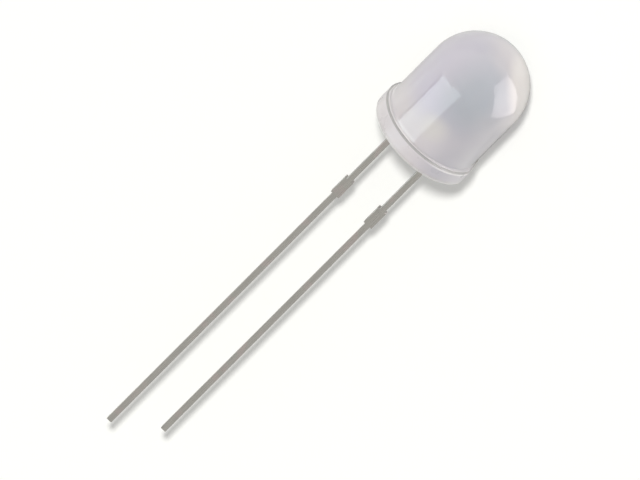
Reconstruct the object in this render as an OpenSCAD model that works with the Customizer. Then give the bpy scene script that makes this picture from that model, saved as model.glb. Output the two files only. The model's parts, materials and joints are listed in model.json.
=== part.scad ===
// Round through hole LED: a cast epoxy lens over a stamped frame of two leads.
// It lies on its flange. The optical axis runs along +X towards the dome, the leads run along -X,
// and the origin is the middle of the seating face, where the leads leave the epoxy.
// Shapes are drawn upright, with heights measured up from the seating face, and then laid down.

/* [Lens] */
// Diameter of the lens barrel and of its dome
lens_d = 8; // [6:0.1:10]
// Length of the straight barrel, from the flange to the start of the dome
barrel_l = 5; // [3.5:0.1:7]
// How far the flange stands out from the barrel
flange_lip = 0.325; // [0.25:0.005:0.6]
// Thickness of the flange
flange_h = 1.35; // [1:0.05:2]
// Rounding of the flange's edge at the seating face
seat_edge_r = 0.15; // [0.05:0.01:0.25]
// Rounding of the flange's edge on the dome side
top_edge_r = 0.06; // [0.02:0.01:0.1]
// Fillet in the corner between the flange and the barrel
foot_r = 0.1; // [0.05:0.01:0.15]
// Depth of the flat that marks the cathode side of the flange
flat_depth = 0.175; // [0.05:0.005:0.25]

/* [Leads] */
// Distance between the centre lines of the two leads
lead_pitch = 3.3; // [2.54:0.01:4]
// Width of a lead, in the plane of the frame
lead_w = 0.45; // [0.35:0.01:0.6]
// Thickness of the strip that the frame is stamped from
strip_t = 0.45; // [0.35:0.01:0.6]
// Length of the anode lead below the seating face
anode_l = 35; // [20:0.5:45]
// Length of the cathode lead below the seating face
cathode_l = 32.5; // [18:0.5:43]
// Width of the tab that the cut dam bar leaves on a lead
tab_w = 0.78; // [0.65:0.01:1]
// Length of the tab along the lead
tab_l = 1.75; // [1:0.05:2.5]
// Distance of the tab's middle below the seating face
tab_drop = 7.45; // [5:0.05:10]

/* [Frame inside the lens] */
// Height at which the cathode lead starts to widen into its anvil
neck_h = 1.8; // [1:0.1:2.2]
// Height over which the anvil slopes across to the lens axis
slope_h = 1.2; // [0.8:0.1:1.6]
// Height of the anvil's top, where the cup stands
anvil_h = 4.65; // [4.4:0.05:5.6]
// Width of the anvil's top
anvil_w = 0.9; // [0.7:0.05:1]
// Outer diameter of the reflector cup
cup_d = 1.1; // [1:0.05:1.4]
// Height of the reflector cup
cup_h = 0.55; // [0.45:0.01:0.7]
// Depth of the reflector
cup_depth = 0.35; // [0.25:0.01:0.4]
// Wall of the cup at its mouth
cup_wall = 0.1; // [0.06:0.01:0.14]
// Diameter of the reflector's floor
cup_floor_d = 0.56; // [0.5:0.01:0.6]
// Height of the post's top, where the wire lands
post_h = 4.9; // [4.5:0.05:5.8]
// Height of the flag that the post holds towards the cup
flag_h = 0.6; // [0.4:0.05:0.8]
// Gap between the post's flag and the cup
post_gap = 0.3; // [0.2:0.01:0.4]

/* [Chip] */
// Side of the square chip
die_w = 0.3; // [0.2:0.01:0.32]
// Height of the chip
die_h = 0.2; // [0.1:0.01:0.24]
// Thickness of the adhesive pad under the chip
pad_h = 0.03; // [0.01:0.005:0.05]
// How far the adhesive pad reaches past the chip's corners
pad_margin = 0.02; // [0.005:0.005:0.04]
// Diameter of the bond wire
wire_d = 0.03; // [0.02:0.005:0.05]
// Diameter of the ball that welds the wire to the chip
ball_d = 0.09; // [0.06:0.01:0.12]
// Height of the ball
ball_h = 0.05; // [0.03:0.005:0.06]
// Height of the wire's loop above the chip
loop_h = 0.6; // [0.5:0.05:0.8]

/* [Hidden] */
$fn = 96;
lens_r = lens_d / 2;
flange_r = lens_r + flange_lip;
dome_base_h = flange_h + barrel_l;
lead_y = lead_pitch / 2;
cup_r = cup_d / 2;
cup_top_h = anvil_h + cup_h;
cup_floor_h = cup_top_h - cup_depth;
pad_r = die_w * sqrt(2) / 2 + pad_margin;
die_base_h = cup_floor_h + pad_h;
die_top_h = die_base_h + die_h;
// The flag's inner edge, and the middle of the post's top
flag_y = cup_r + post_gap;
bond_y = (flag_y + lead_y + lead_w / 2) / 2;
// The bond wire is a tube of flat sides. Its loop is a Bezier curve, which rises
// to three quarters of the height of its two upper points.
wire_sides = 8;
wire_steps = 14;
wire_start = [0, die_top_h + ball_h];
wire_end = [bond_y, post_h];
wire_peak_h = die_top_h + loop_h / 0.75;
// Height up the ball and radius, each as a share of the ball's own
ball_rings = [[0, 0.8], [0.3, 1], [0.7, 0.8]];

// Lays an upright shape down: what pointed up points along +X
module laid() rotate([0, 90, 0]) children();

// Stands a flat outline up as a piece of strip. Its x becomes Y, and its y becomes height.
module strip() rotate([90, 0, 90]) linear_extrude(strip_t, center = true) children();

// Half section of the casting: radius against height
module lens_section() {
    // The flange, with a round at each outer corner
    square([flange_r - seat_edge_r, flange_h]);
    translate([0, seat_edge_r]) square([flange_r, flange_h - seat_edge_r - top_edge_r]);
    translate([0, flange_h / 2]) square([flange_r - top_edge_r, flange_h / 2]);
    translate([flange_r - seat_edge_r, seat_edge_r]) circle(seat_edge_r);
    translate([flange_r - top_edge_r, flange_h - top_edge_r]) circle(top_edge_r);
    // The barrel, with the fillet at its foot
    square([lens_r, dome_base_h]);
    difference() {
        translate([0, flange_h]) square([lens_r + foot_r, foot_r]);
        translate([lens_r + foot_r, flange_h + foot_r]) circle(foot_r);
    }
    // The dome
    intersection() {
        translate([0, dome_base_h]) circle(lens_r);
        translate([0, dome_base_h]) square(lens_r);
    }
}

// The casting without the hollows of what is cast in
module casting() {
    flat_y = flange_r - flat_depth;
    difference() {
        rotate_extrude() lens_section();
        translate([-flange_r, -flat_y - flange_r, -flange_h])
            cube([2 * flange_r, flange_r, 2 * flange_h + foot_r]);
    }
}

// Outline of a lead at y, from its cut tip up to a height, with its tab
module lead_outline(y, length, top_h) {
    translate([y - lead_w / 2, -length]) square([lead_w, length + top_h]);
    translate([y - tab_w / 2, -tab_drop - tab_l / 2]) square([tab_w, tab_l]);
}

module cathode_shape() {
    outer_y = -lead_y - lead_w / 2;
    inner_y = -lead_y + lead_w / 2;
    half_w = anvil_w / 2;
    // The anvil runs up into the cup's base, and its outer shoulder falls at 45 degrees
    anvil_top_h = anvil_h + (cup_h - cup_depth) / 2;
    shoulder_h = anvil_h - (-half_w - outer_y);
    strip() {
        lead_outline(-lead_y, cathode_l, neck_h);
        polygon([
            [outer_y, neck_h - slope_h / 2], [inner_y, neck_h - slope_h / 2], [inner_y, neck_h],
            [half_w, neck_h + slope_h], [half_w, anvil_top_h], [-half_w, anvil_top_h],
            [-half_w, anvil_h], [outer_y, shoulder_h]
        ]);
    }
    // The reflector cup
    translate([0, 0, anvil_h]) rotate_extrude() polygon([
        [0, 0], [cup_r, 0], [cup_r, cup_h], [cup_r - cup_wall, cup_h],
        [cup_floor_d / 2, cup_h - cup_depth], [0, cup_h - cup_depth]
    ]);
}

module anode_shape() {
    inner_y = lead_y - lead_w / 2;
    flag_base_h = post_h - flag_h;
    strip() {
        lead_outline(lead_y, anode_l, post_h);
        // The flag, whose lower edge falls at 45 degrees to the lead
        polygon([
            [lead_y, post_h], [flag_y, post_h], [flag_y, flag_base_h],
            [inner_y, flag_base_h - (inner_y - flag_y)], [lead_y, flag_base_h - (inner_y - flag_y)]
        ]);
    }
}

module die_shape() {
    translate([-die_w / 2, -die_w / 2, die_base_h]) cube([die_w, die_w, die_h]);
}

module pad_shape() {
    translate([0, 0, cup_floor_h]) cylinder(h = pad_h, r = pad_r);
}

// Point t of the wire's loop as [y, height], and the way it runs there
function bezier(a, b, c, d, t) =
    pow(1 - t, 3) * a + 3 * t * pow(1 - t, 2) * b + 3 * t * t * (1 - t) * c + pow(t, 3) * d;
function bezier_way(a, b, c, d, t) =
    pow(1 - t, 2) * (b - a) + 2 * t * (1 - t) * (c - b) + t * t * (d - c);
function loop_point(t) =
    bezier(wire_start, [0, wire_peak_h], [bond_y, wire_peak_h], wire_end, t);
function loop_way(t) =
    let (w = bezier_way(wire_start, [0, wire_peak_h], [bond_y, wire_peak_h], wire_end, t)) w / norm(w);

// A ring of the tube's corners, square to the way it runs
function ring(centre, way, r) = [
    for (k = [0 : wire_sides - 1]) let (a = 360 * k / wire_sides)
        [r * cos(a), centre.x + r * sin(a) * way.y, centre.y - r * sin(a) * way.x]
];

module wire_shape() {
    rings = concat(
        [for (b = ball_rings) ring([0, die_top_h + b[0] * ball_h], [0, 1], b[1] * ball_d / 2)],
        [for (i = [0 : wire_steps]) ring(loop_point(i / wire_steps), loop_way(i / wire_steps), wire_d / 2)]
    );
    last = len(rings) - 1;
    polyhedron(
        points = [for (r = rings) each r],
        faces = concat(
            [[for (k = [0 : wire_sides - 1]) k]],
            [[for (k = [wire_sides - 1 : -1 : 0]) last * wire_sides + k]],
            [for (i = [0 : last - 1]) for (k = [0 : wire_sides - 1])
                let (low = i * wire_sides, high = low + wire_sides, next = (k + 1) % wire_sides)
                    each [[low + k, high + k, high + next], [low + k, high + next, low + next]]]
        )
    );
}

// Cast epoxy, with a hollow for each piece that it holds
module lens_body() {
    color([0.8, 0.8, 0.79]) laid() difference() {
        casting();
        cathode_shape();
        anode_shape();
        pad_shape();
        die_shape();
        wire_shape();
    }
}

// Lead, anvil and reflector cup
module cathode_lead() color([0.63, 0.62, 0.59]) laid() cathode_shape();

// Lead and post
module anode_lead() color([0.63, 0.62, 0.59]) laid() anode_shape();

module led_die() color([0.75, 0.7, 0.45]) laid() die_shape();

module die_attach() color([0.7, 0.7, 0.7]) laid() pad_shape();

module bond_wire() color([0.85, 0.68, 0.3]) laid() wire_shape();

lens_body();
cathode_lead();
anode_lead();
led_die();
die_attach();
bond_wire();
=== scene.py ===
# %% [markdown]
# # A through hole LED
#
# A through hole LED is a light cast in a plastic lens. A thin frame of two leads is stamped from
# strip, a chip is glued in a cup on one lead and wired to the other, and the top of the frame is
# dipped in a mould that is full of liquid epoxy. What comes out is a milky bullet on a flange,
# with two long bare leads.
#
# The LED lies on its flange with the optical axis along +X. This lesson takes the finished
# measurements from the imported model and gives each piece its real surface.

# %% Load the frame
import json
import math

import bmesh
import bpy
from mathutils import Matrix, Vector


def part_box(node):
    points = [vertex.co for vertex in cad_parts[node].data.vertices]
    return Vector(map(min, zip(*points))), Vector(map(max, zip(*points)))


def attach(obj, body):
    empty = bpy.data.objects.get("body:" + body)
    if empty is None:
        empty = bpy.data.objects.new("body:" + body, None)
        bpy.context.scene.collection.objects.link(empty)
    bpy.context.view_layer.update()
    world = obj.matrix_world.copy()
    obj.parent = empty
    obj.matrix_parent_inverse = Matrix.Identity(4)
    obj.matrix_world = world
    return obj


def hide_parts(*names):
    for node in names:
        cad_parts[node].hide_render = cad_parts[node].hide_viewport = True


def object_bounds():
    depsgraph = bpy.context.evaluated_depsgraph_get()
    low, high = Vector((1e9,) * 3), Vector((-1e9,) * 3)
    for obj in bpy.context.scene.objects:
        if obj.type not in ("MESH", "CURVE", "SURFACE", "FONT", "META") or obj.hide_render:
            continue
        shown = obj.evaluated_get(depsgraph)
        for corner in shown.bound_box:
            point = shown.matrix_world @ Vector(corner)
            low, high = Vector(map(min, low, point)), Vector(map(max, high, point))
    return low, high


MM = 0.001


def in_mm(box):
    """A box's two corners in millimetres, to print"""
    return [[round(c / MM, 3) for c in corner] for corner in box]


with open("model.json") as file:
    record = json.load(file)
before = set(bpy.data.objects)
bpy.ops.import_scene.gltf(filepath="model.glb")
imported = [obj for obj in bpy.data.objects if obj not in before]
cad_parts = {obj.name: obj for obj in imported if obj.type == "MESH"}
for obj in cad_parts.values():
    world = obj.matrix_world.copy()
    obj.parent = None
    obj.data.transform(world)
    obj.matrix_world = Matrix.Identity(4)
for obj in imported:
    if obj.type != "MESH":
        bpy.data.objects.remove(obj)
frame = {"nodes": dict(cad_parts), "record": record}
cad_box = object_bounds()
print("CAD box in mm:", in_mm(cad_box))

# %% [markdown]
# ## Sizes
#
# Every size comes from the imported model: from the boxes of its pieces, or from the mounts in its
# record, which hold the radius of the barrel and the height of the flange. The few that the
# record doesn't hold, such as how round an edge is, are written here in millimetres.

# %% Sizes of the LED
def mm(*sizes):
    """Sizes in metres, from sizes in millimetres"""
    return tuple(size * MM for size in sizes)


mounts = {mount["name"]: mount for mount in frame["record"]["mounts"]}
lens_low, lens_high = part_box("lens_body")
flange_r = lens_high.z
flange_h = mounts["flange_shoulder"]["pos_m"][0]
lens_r = mounts["lens_barrel"]["dims"]["r_mm"] * MM
dome_x = lens_high.x - lens_r
flat_y = lens_low.y
floor_z = cad_box[0].z
print("radii in mm:", round(flange_r / MM, 3), "for the flange and", lens_r / MM, "for the barrel")
print("the dome starts", round(dome_x / MM, 3), "mm from the seating face")

# %% [markdown]
# ## Camera
#
# A picture in a parts catalogue has no perspective: parallel leads stay parallel. An orthographic
# camera draws that. The camera looks down on the front of the lens. Its place is given by two
# angles: how high it stands above the table as seen along the optical axis, and how far it leans
# over towards the anode lead. It is then turned until the leads run from corner to corner.

# %% Aim the camera
camera_height = math.radians(61.4)
camera_lean = math.radians(4.5)
picture_w = 46.97 * MM
aim = Vector((-12.03, 0.04, 0)) * MM
camera_d = 0.5
camera_reach = 10

view_side = math.sin(camera_height)
view_from = Vector((
    math.cos(camera_height),
    view_side * math.sin(camera_lean),
    view_side * math.cos(camera_lean),
))
across = Vector((0, math.cos(camera_lean), -math.sin(camera_lean)))
along = across.cross(view_from)
picture_right = (along - across).normalized()
picture_up = (along + across).normalized()

camera_data = bpy.data.cameras.new("camera")
camera_data.type = "ORTHO"
camera_data.ortho_scale = picture_w
camera_data.clip_end = camera_reach
camera = bpy.data.objects.new("camera", camera_data)
bpy.context.collection.objects.link(camera)
turn = Matrix((picture_right, picture_up, view_from)).transposed().to_4x4()
camera.matrix_world = Matrix.Translation(aim + camera_d * view_from) @ turn
bpy.context.scene.camera = camera
bpy.context.scene.view_settings.view_transform = "Standard"
print("the camera looks from", [round(c, 3) for c in view_from])

# %% [markdown]
# ## Shader sums as Python
#
# A material here is a sum of patterns: a base colour, plus a little cloudiness, less some wear.
# Written node by node that is long, so a signal wraps the output of a node and takes the usual
# operators. Each operator adds one Math node.
#
# Most patterns are masks: 1 in one place, 0 in another, and a soft edge between. A mask is made
# from a distance or a coordinate that rises or falls from one value to another. The pair of
# values is all that a soft edge needs.

# %% Signals
class Signal:
    """The output of a shader node, with the sums and masks that the recipes use"""

    def __init__(self, recipe, socket):
        self.recipe = recipe
        self.socket = socket

    def maths(self, operation, *values):
        return self.recipe.node("ShaderNodeMath", {"operation": operation}, dict(enumerate(values)))

    def __add__(self, other):
        return self.maths("ADD", self, other)

    def __mul__(self, other):
        return self.maths("MULTIPLY", self, other)

    def __sub__(self, other):
        return self.maths("SUBTRACT", self, other)

    def __rsub__(self, other):
        return self.maths("SUBTRACT", other, self)

    __radd__ = __add__
    __rmul__ = __mul__

    def rises(self, edge):
        """0 below the edge, 1 above it, and a smooth rise across it"""
        low, high = edge
        settings = {"interpolation_type": "SMOOTHSTEP", "clamp": True}
        inputs = {"Value": self, "From Min": low, "From Max": high}
        return self.recipe.node("ShaderNodeMapRange", settings, inputs)

    def falls(self, edge):
        """1 below the edge, 0 above it, and a smooth fall across it"""
        return 1 - self.rises(edge)


print("a signal has sums, rises and falls")

# %% [markdown]
# A recipe holds the node tree of one material. Its method `node` makes every node: it takes the
# kind of node, the settings that are its own, and the value or the signal for each socket. The
# others are the few patterns and blends that more than one material needs.
#
# A Mix node has three sets of sockets, for numbers, vectors and colours. They have the same names,
# so the ones for colours go by their place in the list.

# %% Recipes
MIX_FACTOR = 0
MIX_FIRST = 6
MIX_SECOND = 7
MIX_RESULT = 2


class Recipe:
    """A node tree that is being written"""

    def __init__(self, tree):
        self.tree = tree
        tree.nodes.clear()

    def node(self, kind, settings=None, inputs=None, output=0):
        """Makes a node and gives one of its outputs"""
        made = self.tree.nodes.new(kind)
        for name, value in (settings or {}).items():
            setattr(made, name, value)
        for name, value in (inputs or {}).items():
            if isinstance(value, Signal):
                self.tree.links.new(value.socket, made.inputs[name])
            else:
                made.inputs[name].default_value = value
        return Signal(self, made.outputs[output]) if made.outputs else made

    def every_output(self, signal):
        """All the outputs of the node that a signal comes from, by name"""
        return {socket.name: Signal(self, socket) for socket in signal.socket.node.outputs}

    def axes(self, vector):
        """The x, y and z of a vector"""
        split = self.node("ShaderNodeSeparateXYZ", {}, {"Vector": vector})
        return self.every_output(split).values()

    def blend(self, factor, first, second):
        """A colour that runs from first to second"""
        inputs = {MIX_FACTOR: factor, MIX_FIRST: first, MIX_SECOND: second}
        return self.node("ShaderNodeMix", {"data_type": "RGBA"}, inputs, output=MIX_RESULT)

    def layers(self, ground, *coats):
        """Colours laid over each other, each with its own mask"""
        for mask, coat in coats:
            ground = self.blend(mask, ground, coat)
        return ground

    def noise(self, place, scale, detail=2.0):
        return self.node("ShaderNodeTexNoise", {}, {"Vector": place, "Scale": scale, "Detail": detail})


def colour(red, green, blue):
    return (red, green, blue, 1.0)


def new_material(name):
    made = bpy.data.materials.new(name)
    made.use_nodes = True
    return made, Recipe(made.node_tree)


print("a recipe makes nodes, masks, layers and noise")

# %% [markdown]
# ## The white table and the light
#
# The LED lies in a light tent. The tent could be a box of cloth with lamps round it, but a plain
# world gives the same even light with nothing to get in the camera's way. It is pure white where
# the camera or a reflection sees it, and dimmer as a light, because the lamp gives the rest.

# %% The tent
tent_white = colour(1.0, 1.0, 0.965)
tent_light = 0.48


def seen_directly(recipe):
    """1 for what the camera, a reflection or a clear piece looks at, and 0 for scattered light"""
    rays = recipe.every_output(recipe.node("ShaderNodeLightPath"))
    seen = rays["Is Camera Ray"] + rays["Is Glossy Ray"] + rays["Is Transmission Ray"]
    return recipe.node("ShaderNodeClamp", {}, {"Value": seen})


world = bpy.data.worlds.new("tent")
world.use_nodes = True
bpy.context.scene.world = world
tent = Recipe(world.node_tree)
strength = seen_directly(tent) * (1 - tent_light) + tent_light
backdrop = tent.node("ShaderNodeBackground", {}, {"Color": tent_white, "Strength": strength})
tent.node("ShaderNodeOutputWorld", {}, {"Surface": backdrop})
print("the tent lights the LED at", tent_light)

# %% [markdown]
# A white world alone would leave the LED floating, so the table is a real surface that takes the
# shadow. What the lamp and the tent leave it short of white is added as a faint glow that only
# the camera and reflections see. More light would do that too, but it would wash out the LED. The
# table is a disc so large that its edge is never seen.

# %% The table
table_r = 4.0
table_sides = 64
table_colour = colour(0.93, 0.93, 0.89)
table_glow = colour(0.075, 0.075, 0.09)


def make_object(name, shape, material):
    """Makes an object at the origin, with its place in its mesh"""
    mesh = bpy.data.meshes.new(name)
    shape.to_mesh(mesh)
    shape.free()
    mesh.materials.append(material)
    made = bpy.data.objects.new(name, mesh)
    bpy.context.collection.objects.link(made)
    return made


def stage_object(name, shape, material):
    """Makes an object of the set, which isn't part of the LED"""
    made = make_object(name, shape, material)
    return made


table_material, paper = new_material("white_table")
matt = paper.node("ShaderNodeBsdfDiffuse", {}, {"Color": table_colour})
seen = seen_directly(paper)
glow = paper.node("ShaderNodeEmission", {}, {"Color": table_glow, "Strength": seen})
both = paper.node("ShaderNodeAddShader", {}, {0: matt, 1: glow})
paper.node("ShaderNodeOutputMaterial", {}, {"Surface": both})

disc = bmesh.new()
bmesh.ops.create_circle(disc, cap_ends=True, segments=table_sides, radius=table_r)
bmesh.ops.translate(disc, verts=disc.verts, vec=(0, 0, floor_z))
stage_object("table", disc, table_material)
print("the table lies", round(-floor_z / MM, 3), "mm below the axis")

# %% [markdown]
# One broad lamp stands behind the camera, a little to its left, and casts the soft shadow. An
# area lamp would be brighter right under it. A sun lamp is just as strong all over the table, and
# its width, as an angle, is how soft the shadow is. Reflections don't see it, because the cards
# below stand in for it there.

# %% The lamp
lamp_from = Vector((0.638, 0.19, 1.0))
lamp_size = math.radians(5.5)
lamp_share = 0.55

sun = bpy.data.lights.new("shadow_lamp", "SUN")
sun.angle = lamp_size
sun.energy = lamp_share * math.pi / lamp_from.normalized().z
shadow_lamp = bpy.data.objects.new("shadow_lamp", sun)
shadow_lamp.matrix_world = lamp_from.to_track_quat("Z", "Y").to_matrix().to_4x4()
shadow_lamp.visible_glossy = False
bpy.context.collection.objects.link(shadow_lamp)
print("the lamp's strength is", round(sun.energy, 3))

# %% [markdown]
# ## Cards for the reflections
#
# What makes a glossy lens look glossy is what it mirrors. Highlights that are painted on the lens
# would stay in place when the camera moves, so a studio hangs cards round its set instead, and
# these are such cards. Each one is a flat sheet that glows, and only reflections see it, so it
# puts no light and no shadow on anything.
#
# A card may glow less the further a point is from its bright spot, as paper does with a lamp
# behind it. The ends of a card may be cut at a slant.

# %% A card that only reflections see
UNSEEN_BY = ("camera", "diffuse", "transmission", "volume_scatter", "shadow")


def away_from(recipe, place, centre, scale=(1, 1, 1)):
    """Distance from centre in metres, where scale stretches or drops an axis"""
    moved = recipe.node("ShaderNodeVectorMath", {"operation": "SUBTRACT"}, {0: place, 1: centre})
    scaled = recipe.node("ShaderNodeVectorMath", {"operation": "MULTIPLY"}, {0: moved, 1: scale})
    return recipe.node("ShaderNodeVectorMath", {"operation": "LENGTH"}, {0: scaled}, output="Value")


def card_place(centre, facing, sideways):
    """Where a card hangs: facing is square to it, and its width runs sideways"""
    back = facing.normalized()
    right = (sideways - sideways.dot(back) * back).normalized()
    turned = Matrix((right, back.cross(right), back)).transposed().to_4x4()
    return Matrix.Translation(centre) @ turned


def reflected_card(name, hung, width, height, tint, radiance, slant=0.0, spot=None, fade=0.0):
    """Makes a card that glows. It loses fade times the distance in metres from its bright spot"""
    card = bmesh.new()
    bmesh.ops.create_grid(card, x_segments=1, y_segments=1, size=0.5)
    bmesh.ops.scale(card, verts=card.verts, vec=(width, height, 1))
    slanted = Matrix(((1, -slant, 0, 0), (0, 1, 0, 0), (0, 0, 1, 0), (0, 0, 0, 1)))
    bmesh.ops.transform(card, verts=card.verts, matrix=hung @ slanted)
    material, glowing = new_material(name)
    if spot is not None:
        place = glowing.node("ShaderNodeTexCoord", output="Object")
        radiance = radiance - away_from(glowing, place, hung @ spot) * fade
    light = glowing.node("ShaderNodeEmission", {}, {"Color": tint, "Strength": radiance})
    glowing.node("ShaderNodeOutputMaterial", {}, {"Surface": light})
    made = stage_object(name, card, material)
    for ray in UNSEEN_BY:
        setattr(made, "visible_" + ray, False)
    print(name, "is", round(width / MM, 1), "by", round(height / MM, 1), "mm")


# %% [markdown]
# A long bright window hangs over the anode side and draws the streak on the barrel. A round
# barrel squeezes what it mirrors into a strip, so the window's edges are given as angles from
# straight up. It ends at a slant above the lens, and a black frame along its low side draws a
# thin dark line beside the streak.

# %% The window overhead
window_d = 0.3
window_start_x = -0.68 * window_d
window_end_x = -0.21 * window_d
window_near = math.radians(10.8)
window_far = math.radians(68.8)
window_slant = 0.165
window_radiance = 3.35
frame_end_x = -0.31 * window_d
frame_far = math.radians(75.5)
frame_radiance = 0.0
cool_light = colour(0.87, 0.99, 1.0)


def overhead(name, near_side, far_side, end_x, radiance):
    """A card overhead, between two angles from straight up towards the anode side"""
    middle = (near_side + far_side) / 2
    facing = Vector((0, math.sin(middle), math.cos(middle)))
    centre = window_d * facing + Vector(((window_start_x + end_x) / 2, 0, 0))
    hung = card_place(centre, facing, Vector((1, 0, 0)))
    width = end_x - window_start_x
    height = 2 * window_d * math.tan((far_side - near_side) / 2)
    reflected_card(name, hung, width, height, cool_light, radiance, slant=window_slant)


overhead("window", window_near, window_far, window_end_x, window_radiance)
overhead("window_frame", window_far, frame_far, frame_end_x, frame_radiance)

# %% [markdown]
# A small warm card stands close beside the dome, on the cathode side, and draws the patch there.
# The patch is brightest at one place and fades from it.

# %% The card beside the dome
side_card_at = Vector((13.6, -11.12, 4.1))
side_card_facing = Vector((0.35, -0.93, 0.1))
side_card_along = Vector((1, 0.3, 0.2))
side_card_w = 18.5 * MM
side_card_h = 12.3 * MM
side_radiance = 5.75
side_spot = Vector((-0.95, 0.8, 0)) * MM
side_fade = 245
warm_light = colour(1.0, 0.94, 0.95)

reflected_card(
    "side_card", card_place(side_card_at * MM, side_card_facing, side_card_along),
    side_card_w, side_card_h, warm_light, side_radiance, spot=side_spot, fade=side_fade,
)

# %% [markdown]
# A glossy thing mirrors most at its very edge, and there it mirrors the table. A grey sheet on
# the table draws a darker outline round the LED. A small dark sheet over it, right under the
# lens, does the same where the lens comes closest to the table.

# %% Sheets on the table
sheet_grey = colour(1.0, 0.96, 0.99)
sheets = (
    # name, middle above the table, length and width in millimetres, and radiance
    ("grey_sheet", Vector((16, 0, 0.02)), 40, 50, 0.42),
    ("dark_sheet", Vector((3.75, 0.7, 0.04)), 14.5, 15.0, 0.03),
)
for name, middle, length, width, radiance in sheets:
    on_table = middle * MM + Vector((0, 0, floor_z))
    hung = card_place(on_table, Vector((0, 0, 1)), Vector((1, 0, 0)))
    reflected_card(name, hung, length * MM, width * MM, sheet_grey, radiance)

# %% [markdown]
# ## The lens
#
# The lens could be two cylinders and half a ball joined together, but every small corner would
# then be a job of its own. It is round, so it is turned like a chess piece: half of its outline,
# spun about the optical axis, with all the corners in the outline. The outline is drawn from the
# seating face out to the flange, over the shoulder and along the barrel to the tip of the dome.
#
# The seating face was the free surface of the liquid epoxy, so it is slightly dished and climbs
# at the mould's wall. The two parts of the mould met at the outer corner of the shoulder, and
# left a fine rebate all round it.

# %% Outline of the lens
seat_edge_r = 0.05 * MM
foot_r = 0.1 * MM
dish_depth = 0.12 * MM
dish_power = 4
rebate_r = 0.1 * MM
rebate_arc = (200, 250)
seat_rings = 44
wall_rings = 8
barrel_rings = 24
dome_rings = 40
corner_rings = 8
rebate_rings = 5


def arc(centre_x, centre_r, radius, start, end, steps):
    """Points from start to end, in degrees, where 0 points along +X and 90 away from the axis"""
    turns = [math.radians(start + (end - start) * k / steps) for k in range(steps + 1)]
    return [(centre_x + radius * math.cos(a), centre_r + radius * math.sin(a)) for a in turns]


def lens_outline():
    """Points as place along the axis and distance from it, from the seating face to the tip"""
    dish_r = flange_r - seat_edge_r
    points = [
        (dish_depth * (1 - (k / seat_rings) ** dish_power), dish_r * k / seat_rings)
        for k in range(seat_rings)
    ]
    points += arc(seat_edge_r, dish_r, seat_edge_r, 180, 90, corner_rings)
    wall_l = flange_h - rebate_r - seat_edge_r
    points += [
        (seat_edge_r + wall_l * k / wall_rings, flange_r) for k in range(1, wall_rings + 1)
    ]
    points += arc(flange_h, flange_r, rebate_r, *rebate_arc, rebate_rings)
    points.append((flange_h, flange_r - rebate_r))
    barrel_x = flange_h + foot_r
    points += arc(barrel_x, lens_r + foot_r, foot_r, 180, 270, corner_rings)
    points += [
        (barrel_x + (dome_x - barrel_x) * k / barrel_rings, lens_r) for k in range(1, barrel_rings)
    ]
    points += arc(dome_x, 0, lens_r, 90, 0, dome_rings)
    return points


outline = lens_outline()
print("the outline has", len(outline), "points")

# %% [markdown]
# ## Milky epoxy
#
# The lens is clear epoxy with a fine white powder in it, so light wanders under the surface
# before it comes out. A volume of fog inside a clear lens would be nearest to that, but it is slow
# and grainy. Subsurface scattering gives the same soft milk from the surface alone.
#
# The milk isn't the same all over. Each difference is a plain colour, with a mask that says where
# it lies, and they are laid over each other in turn. The wide anvil and the cup stand in the
# middle, and seen through the epoxy they are a cool grey core, which also serves as painted shade
# where the lamp lights the middle of the lens most. The anode side is paler, partly for the thin
# post inside and partly as painted light from that side. The tip, the cathode side of the dome and
# the edge between those two are painted paler and warmer, as painted light on these rims. The foot
# above the flange is painted pale as well, with a painted cream glow of light off the bare metal
# close by. Faint clouds lie over all of it.

# %% Colours in the milk
epoxy_cathode = colour(0.475, 0.455, 0.505)
# paler anode side: partly the thin post inside, partly painted light from that side
epoxy_anode_post_and_light = colour(0.555, 0.525, 0.605)
# cool grey core: the frame seen through the milk, and painted shade where the lamp lights most
epoxy_core_frame_and_shade = colour(0.415, 0.435, 0.48)
# painted light at the tip; the faint clouds use this colour too
epoxy_lit_tip_and_clouds = colour(0.62, 0.575, 0.59)
# painted light on the cathode side of the dome
epoxy_lit_side = colour(0.73, 0.68, 0.69)
# painted light on the dome's edge
epoxy_lit_edge = colour(0.72, 0.68, 0.665)
# painted light on the foot above the flange
epoxy_lit_foot = colour(0.615, 0.58, 0.60)
# a painted glow of light off the bare metal inside
epoxy_painted_glow = colour(0.66, 0.64, 0.59)

anode_rise_y = mm(-2.0, 2.6)
anode_fade_x = mm(5.5, 9)
anode_fade_share = 0.5
core_at = Vector((7.5, -0.42, 0)) * MM
core_stretch = (0.8, 1, 0)
core_fall = mm(0.6, 3.5)
tip_lean = 0.25
tip_rise = mm(9.3, 10.9)
side_rise_y = mm(2.6, 3.9)
side_rise_x = mm(5.2, 7.2)
edge_rise = mm(4.2, 5.2)
foot_fall_x = mm(2.4, 4.8)
foot_rise_y = mm(-2.6, 0.4)
cream_at = Vector((3.5, 0.2, 3.5)) * MM
cream_fall = mm(0.4, 1.6)
cream_share = 0.6
cloud_scale = 260
cloud_rise = (0.38, 0.62)
cloud_share = 0.12


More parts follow.
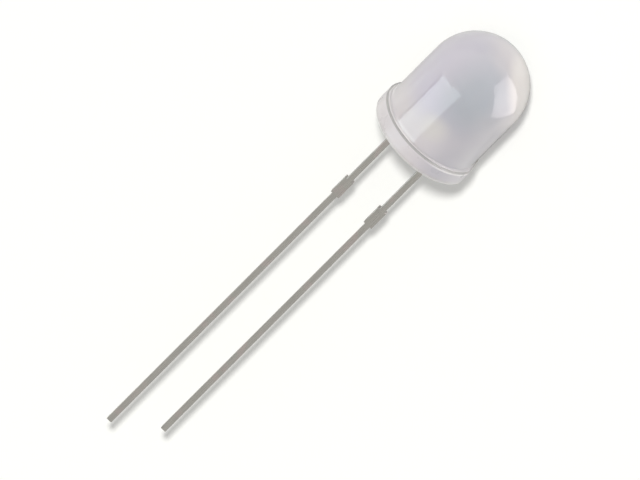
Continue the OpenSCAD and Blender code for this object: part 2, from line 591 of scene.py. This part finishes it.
def colour_of_milk(epoxy, place):
    """All the tints of the milk, with its painted light and shade, laid over the plain cathode side"""
    x, y, _ = epoxy.axes(place)
    # the core: the frame seen through the milk, and painted shade where the lamp lights the middle most
    core = away_from(epoxy, place, core_at, core_stretch).falls(core_fall)
    # the foot: painted light, paler above the flange
    lit_foot = x.falls(foot_fall_x) * y.rises(foot_rise_y)
    # the tip: painted light, paler and warmer
    tip = (x - y * tip_lean).rises(tip_rise)
    # painted light on the cathode side of the dome
    lit_side = (0 - y).rises(side_rise_y) * x.rises(side_rise_x)
    # painted light on the dome's edge between the tip and the cathode side
    edge = (x - y - dome_x).rises(edge_rise)
    # a painted glow of light off the bare metal inside
    painted_glow = away_from(epoxy, place, cream_at).falls(cream_fall)
    clouds = epoxy.noise(place, cloud_scale).rises(cloud_rise)
    # the anode side: partly the thin post inside, partly painted light from that side
    anode_post_and_light = y.rises(anode_rise_y) * (1 - x.rises(anode_fade_x) * anode_fade_share)
    return epoxy.layers(
        epoxy_cathode,
        (anode_post_and_light, epoxy_anode_post_and_light),
        (core, epoxy_core_frame_and_shade),
        (tip, epoxy_lit_tip_and_clouds),
        (lit_side, epoxy_lit_side),
        (edge, epoxy_lit_edge),
        (lit_foot, epoxy_lit_foot),
        (painted_glow * cream_share, epoxy_painted_glow),
        (clouds * cloud_share, epoxy_lit_tip_and_clouds),
    )


print("the milk's core lies", round(core_at.x / MM, 2), "mm from the seating face")

# %% [markdown]
# The flange has marks of its own, and most of them are painted light and shade. The fine rebate
# where the mould parted, at the outer corner of the shoulder, holds a dark line of painted shade.
# The rebate is in the shape, but it is too fine to shade itself, so the colour gives it its depth.
# The line follows the corner all round, also along the flat, so it is drawn by how far a point is
# from that corner, in the plane through the axis. At its far end, low on the anode side, the
# painted shade is wider and darker, as in a groove seen along its length. On the cathode side a
# painted glint lies on the epoxy just below it. The rim of the seating face is darker, as painted
# shade, the shoulder has an even grey tint of painted shade, and the foot of the barrel has a
# painted highlight on the anode side, like a narrow ledge that catches the light.

# %% Marks on the flange
# painted shade on the shoulder face
epoxy_shoulder_shade = colour(0.58, 0.56, 0.57)
# painted highlight on the ledge at the barrel's foot
epoxy_ledge_highlight = colour(0.705, 0.68, 0.69)
# painted shade at the rim of the seating face
epoxy_rim_shade = colour(0.42, 0.40, 0.40)
# painted glint below the line on the cathode side
epoxy_painted_glint = colour(0.72, 0.70, 0.71)
# painted shade: the dark line in the rebate, and the darker shade at its far end
epoxy_line_shade = colour(0.33, 0.32, 0.32)
epoxy_gap_shade = colour(0.15, 0.145, 0.14)

line_x = flange_h - 0.05 * MM
line_fall = mm(0.09, 0.145)
far_end_rise_y = mm(0, 1)
far_end_fall_z = mm(-1.0, 0.6)
far_end_wider = 0.04 * MM
glint_fall = mm(0.24, 0.3)
glint_rise_y = mm(0.5, 2.5)
glint_fall_x = (line_x - 0.04 * MM, line_x)
rim_fall_x = mm(0.05, 0.45)
rim_rise = mm(-0.12, -0.04)
rim_share = 0.6
shoulder_rise_x = (flange_h - 0.04 * MM, flange_h)
shoulder_fall_x = (flange_h + 0.02 * MM, flange_h + 0.1 * MM)
shoulder_share = 0.7
ledge_rise_x = (flange_h - 0.02 * MM, flange_h)
ledge_fall_x = mm(1.45, 1.8)
ledge_rise_y = mm(0.4, 1.0)
ledge_fall_y = mm(2.3, 3.0)


def flange_marks(epoxy, place, milk):
    """The milk with the flange's marks, mostly painted light and shade, laid over it"""
    x, y, z = epoxy.axes(place)
    off_axis = away_from(epoxy, place, (0, 0, 0), (0, 1, 1))
    # How far out a point is from the flange's wall, which is round but for the flat
    outside = epoxy.node(
        "ShaderNodeMath", {"operation": "MAXIMUM"}, {0: off_axis - flange_r, 1: flat_y - y}
    )
    from_corner = epoxy.node("ShaderNodeCombineXYZ", {}, {0: x - line_x, 1: outside})
    off_line = away_from(epoxy, from_corner, (0, 0, 0))
    # painted shade, wider and darker at the line's far end on the anode side
    far_end_shade = y.rises(far_end_rise_y) * z.falls(far_end_fall_z)
    # the line: painted shade in the rebate
    line = (off_line - far_end_shade * far_end_wider).falls(line_fall)
    # painted glint below the line on the cathode side
    painted_glint = off_line.falls(glint_fall) * (0 - y).rises(glint_rise_y) * x.falls(glint_fall_x)
    # the rim: painted shade at the edge of the seating face
    rim = x.falls(rim_fall_x) * outside.rises(rim_rise)
    # the shoulder: painted shade on its face
    shoulder = x.rises(shoulder_rise_x) * x.falls(shoulder_fall_x)
    # painted highlight on the ledge at the barrel's foot, anode side
    ledge_highlight = x.rises(ledge_rise_x) * x.falls(ledge_fall_x)
    ledge_highlight = ledge_highlight * y.rises(ledge_rise_y) * y.falls(ledge_fall_y)
    return epoxy.layers(
        milk,
        (shoulder * shoulder_share, epoxy_shoulder_shade),
        (ledge_highlight, epoxy_ledge_highlight),
        (rim * rim_share, epoxy_rim_shade),
        (painted_glint, epoxy_painted_glint),
        (line, epoxy.blend(far_end_shade, epoxy_line_shade, epoxy_gap_shade)),
    )


print("the line lies", round(line_x / MM, 2), "mm from the seating face")

# %% [markdown]
# The surface was cast against polished steel. It is glossy, with the faintest ripple and a few
# specks of dust. The flange is duller than the barrel and the dome, because its part of the mould
# isn't polished. Ripple and dust could be modelled, but they only show in how sharp a reflection
# is, so they go into the roughness and a slight bump.

# %% The epoxy
ripple_scale = 900
ripple_rough = 0.06
dust_scale = 5200
dust_rise = (0.7, 0.8)
dust_rough = 0.1
flange_fall_x = (flange_h - 0.1 * MM, flange_h)
flange_rough = 0.2
mould_rough = 0.05


def milky_epoxy():
    made, epoxy = new_material("milky_epoxy")
    place = epoxy.node("ShaderNodeTexCoord", output="Object")
    x, _, _ = epoxy.axes(place)
    ripple = epoxy.noise(place, ripple_scale, detail=3)
    dust = epoxy.noise(place, dust_scale, detail=1).rises(dust_rise)
    on_flange = x.falls(flange_fall_x)
    rough = ripple * ripple_rough + dust * dust_rough + on_flange * flange_rough + mould_rough
    bump = epoxy.node("ShaderNodeBump", {}, {"Strength": 0.06, "Distance": 0.02 * MM, "Height": ripple})
    surface = epoxy.node(
        "ShaderNodeBsdfPrincipled",
        {"subsurface_method": "RANDOM_WALK"},
        {
            "Base Color": flange_marks(epoxy, place, colour_of_milk(epoxy, place)),
            "Roughness": rough,
            "IOR": 1.54,
            "Subsurface Weight": 1.0,
            "Subsurface Radius": (1.0, 0.95, 0.9),
            "Subsurface Scale": 1.2 * MM,
            "Sheen Weight": 0.6,
            "Sheen Roughness": 0.65,
            "Normal": bump,
        },
    )
    epoxy.node("ShaderNodeOutputMaterial", {}, {"Surface": surface})
    return made


epoxy_material = milky_epoxy()
print("the epoxy has", len(epoxy_material.node_tree.nodes), "nodes")

# %% [markdown]
# ## Turning the lens
#
# The half outline becomes a chain of edges, and the spin sweeps it once round the axis. Its two
# ends lie on the axis, where the spin leaves one point for each step. Those are merged into one,
# so the lens is a closed shell.

# %% Spin the outline
MERGE = 1e-7
lens_turns = 192


def spin_outline(points, turns):
    turned = bmesh.new()
    corners = [turned.verts.new((x, 0, r)) for x, r in points]
    lines = [turned.edges.new(pair) for pair in zip(corners, corners[1:])]
    bmesh.ops.spin(
        turned, geom=corners + lines, cent=(0, 0, 0), axis=(1, 0, 0), dvec=(0, 0, 0),
        angle=2 * math.pi, steps=turns, use_merge=True,
    )
    bmesh.ops.remove_doubles(turned, verts=turned.verts, dist=MERGE)
    bmesh.ops.recalc_face_normals(turned, faces=turned.faces)
    return turned


lens_shape = spin_outline(outline, lens_turns)
print("the turned lens has", len(lens_shape.verts), "points")

# %% [markdown]
# Around each lead the liquid epoxy crept up the metal, so the seating face rises to a small
# collar there. A collar could be a ring of its own, but it is one casting with the lens, so it is
# a move of the face's own points, by how near each one is to the square lead. The leads' places
# are measured on their nodes.

# %% Raise the collars
collar_h = 0.2 * MM
collar_reach = 0.16 * MM


def lead_edges(node):
    """Lowest and highest y, and half the thickness, of a lead where it leaves the epoxy"""
    mesh = frame["nodes"][node].data
    tip_x = min(v.co.x for v in mesh.vertices)
    tip = [v.co for v in mesh.vertices if v.co.x < tip_x + MERGE]
    return min(p.y for p in tip), max(p.y for p in tip), max(p.z for p in tip)


def outside_lead(point, edges):
    """How far a point of the seating face is from a lead"""
    low_y, high_y, half_t = edges
    away_y = max(low_y - point.y, point.y - high_y, 0)
    away_z = max(abs(point.z) - half_t, 0)
    return math.hypot(away_y, away_z)


def raise_collars(turned):
    leads = [lead_edges("anode_lead"), lead_edges("cathode_lead")]
    face_r = flange_r - 2 * seat_edge_r
    for corner in turned.verts:
        if corner.co.x < 2 * dish_depth and corner.co.yz.length < face_r:
            near = min(outside_lead(corner.co, lead) for lead in leads)
            corner.co.x -= collar_h * math.exp(-near / collar_reach)


raise_collars(lens_shape)
print("the collars rise to", round(min(v.co.x for v in lens_shape.verts) / MM, 3), "mm")

# %% [markdown]
# The flat marks the cathode side. A Boolean could cut it, but one plane is enough, and the cut is
# then closed with one face. It stops at the shoulder, because the barrel is narrower. The rest of
# the lens is smooth, and only the edge round the flat is sharp.

# %% Cut the flat
def cut_flat(turned):
    cut = bmesh.ops.bisect_plane(
        turned, geom=turned.verts[:] + turned.edges[:] + turned.faces[:], dist=MERGE,
        plane_co=(0, flat_y, 0), plane_no=(0, -1, 0), clear_outer=True,
    )
    rim = [e for e in cut["geom_cut"] if isinstance(e, bmesh.types.BMEdge)]
    flat = bmesh.ops.contextual_create(turned, geom=rim)["faces"]
    bmesh.ops.recalc_face_normals(turned, faces=turned.faces)
    for face in turned.faces:
        face.smooth = face not in flat
    for edge in rim:
        edge.smooth = False
    print("the cut has", len(rim), "edges and", len(flat), "face")


cut_flat(lens_shape)

# %% [markdown]
# A finished piece is an object that rides on the LED's one body. The lens stands for the packed
# lens body, which is then hidden.

# %% The lens as a piece
def finish_piece(shape, name, material):
    """Makes the object, which rides on the LED's one body"""
    piece = make_object(name, shape, material)
    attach(piece, "root")
    print(name, "has", len(piece.data.polygons), "faces")
    return piece


lens = finish_piece(lens_shape, "lens", epoxy_material)
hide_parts("lens_body")

# %% [markdown]
# ## Tinned leads
#
# The leads are steel strip that was stamped and then plated with tin. Plating is a little
# rough and greyish, with fine streaks along the strip from rolling, and it is worn in patches.
# The sides were sheared, so they are a little darker and coarser than the flat faces. The cuts
# across the lead, at its tip and at the ends of its tab, came after the plating and are bare
# metal, and they are painted brighter still, as painted light that keeps them from mirroring the
# shade under the lens as dark dots. Each kind of face could have a material of its own, but one
# recipe that tells them by their normal serves both leads.

# %% The tin plating
tin = colour(0.34, 0.325, 0.305)
tin_worn = colour(0.37, 0.33, 0.315)
tin_dark = colour(0.19, 0.185, 0.175)
# bare metal at the cuts, painted brighter as painted light against mirrored shade
bare_cut_and_painted_light = colour(0.76, 0.735, 0.705)

rolled_out = (0.06, 1.0, 1.0)
streak_scale = 16000
streak_rise = (0.35, 0.75)
streak_share = 0.35
patch_scale = 900
patch_rise = (0.5, 0.68)
grain_scale = 9000
grain_share = 0.6
sheared_fall = (0.4, 0.8)
sheared_share = 0.2
cut_rise = (0.5, 0.8)
streak_rough = 0.12
sheared_rough = 0.15
tin_rough = 0.22


def plated_steel():
    made, plating = new_material("plated_steel")
    place = plating.node("ShaderNodeTexCoord", output="Object")
    drawn_out = plating.node("ShaderNodeMapping", {}, {"Vector": place, "Scale": rolled_out})
    streaks = plating.noise(drawn_out, streak_scale, detail=3)
    patches = plating.noise(place, patch_scale)
    grain = plating.noise(place, grain_scale)
    normal = plating.node("ShaderNodeTexCoord", output="Normal")
    facing = plating.node("ShaderNodeVectorMath", {"operation": "ABSOLUTE"}, {0: normal})
    lengthwise, _, upwards = plating.axes(facing)
    sheared = upwards.falls(sheared_fall)
    face = plating.layers(
        tin,
        (patches.rises(patch_rise), tin_worn),
        (streaks.rises(streak_rise) * streak_share, tin_dark),
        (sheared * sheared_share, tin_dark),
        # the cut ends: bare metal, painted brighter as painted light
        (lengthwise.rises(cut_rise), bare_cut_and_painted_light),
    )
    relief = streaks + grain * grain_share
    bump = plating.node("ShaderNodeBump", {}, {"Strength": 0.25, "Distance": 0.004 * MM, "Height": relief})
    surface = plating.node(
        "ShaderNodeBsdfPrincipled",
        {},
        {
            "Base Color": face,
            "Metallic": 1.0,
            "Roughness": streaks * streak_rough + sheared * sheared_rough + tin_rough,
            "Normal": bump,
        },
    )
    plating.node("ShaderNodeOutputMaterial", {}, {"Surface": surface})
    return made


plated_material = plated_steel()
print("the plating has", len(plated_material.node_tree.nodes), "nodes")

# %% [markdown]
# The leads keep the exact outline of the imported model. No stamped edge is razor sharp, so each
# lead is a copy of its node with the loose triangles merged, the flat faces joined up again and
# every corner rounded by a few hundredths of a millimetre. A Bevel modifier would round them too,
# but the operator also hands back the new faces, so that only those are shaded smooth.

# %% Round the edges of the leads
edge_round = 0.03 * MM
round_steps = 3
flat_enough = math.radians(1)
sharp_corner = math.radians(40)


def rounded_copy(node):
    copy = bmesh.new()
    copy.from_mesh(frame["nodes"][node].data)
    bmesh.ops.remove_doubles(copy, verts=copy.verts, dist=MERGE)
    bmesh.ops.dissolve_limit(copy, angle_limit=flat_enough, verts=copy.verts, edges=copy.edges)
    corners = [
        e for e in copy.edges if len(e.link_faces) == 2 and e.calc_face_angle() > sharp_corner
    ]
    for face in copy.faces:
        face.smooth = False
    rounds = bmesh.ops.bevel(
        copy, geom=corners, offset=edge_round, offset_type="OFFSET", affect="EDGES",
        segments=round_steps, profile=0.5, material=-1, clamp_overlap=True,
    )["faces"]
    for face in rounds:
        face.smooth = True
    return copy


for node in ("anode_lead", "cathode_lead"):
    lead = finish_piece(rounded_copy(node), node.replace("lead", "leg"), plated_material)
    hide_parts(node)

# %% [markdown]
# ## Chip, adhesive and wire
#
# These are sealed in the middle of the lens, where the milky epoxy hides them. They keep the
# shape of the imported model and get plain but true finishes: the chip is a cube of crystal with
# a faint grain, it sits in silver filled adhesive, and the wire is polished gold.

# %% Finishes inside the lens
grain_rise = (0.35, 0.65)
grain_rough = 0.2


def grained(name, dark, light, scale, metallic, rough):
    """A material with a fine grain between two colours"""
    made, recipe = new_material(name)
    place = recipe.node("ShaderNodeTexCoord", output="Object")
    grain = recipe.noise(place, scale, detail=3)
    surface = recipe.node(
        "ShaderNodeBsdfPrincipled",
        {},
        {
            "Base Color": recipe.blend(grain.rises(grain_rise), dark, light),
            "Metallic": metallic,
            "Roughness": grain * grain_rough + rough,
        },
    )
    recipe.node("ShaderNodeOutputMaterial", {}, {"Surface": surface})
    return made


inside = {
    "led_die": grained(
        "chip", dark=colour(0.4, 0.36, 0.12), light=colour(0.6, 0.56, 0.25),
        scale=9000, metallic=0.0, rough=0.25,
    ),
    "die_attach": grained(
        "silver_adhesive", dark=colour(0.4, 0.4, 0.4), light=colour(0.7, 0.7, 0.69),
        scale=30000, metallic=0.8, rough=0.4,
    ),
    "bond_wire": grained(
        "gold", dark=colour(0.75, 0.5, 0.16), light=colour(0.85, 0.6, 0.24),
        scale=40000, metallic=1.0, rough=0.1,
    ),
}
for node, material in inside.items():
    frame["nodes"][node].data.materials.clear()
    frame["nodes"][node].data.materials.append(material)
    print(node, "is finished in", material.name)
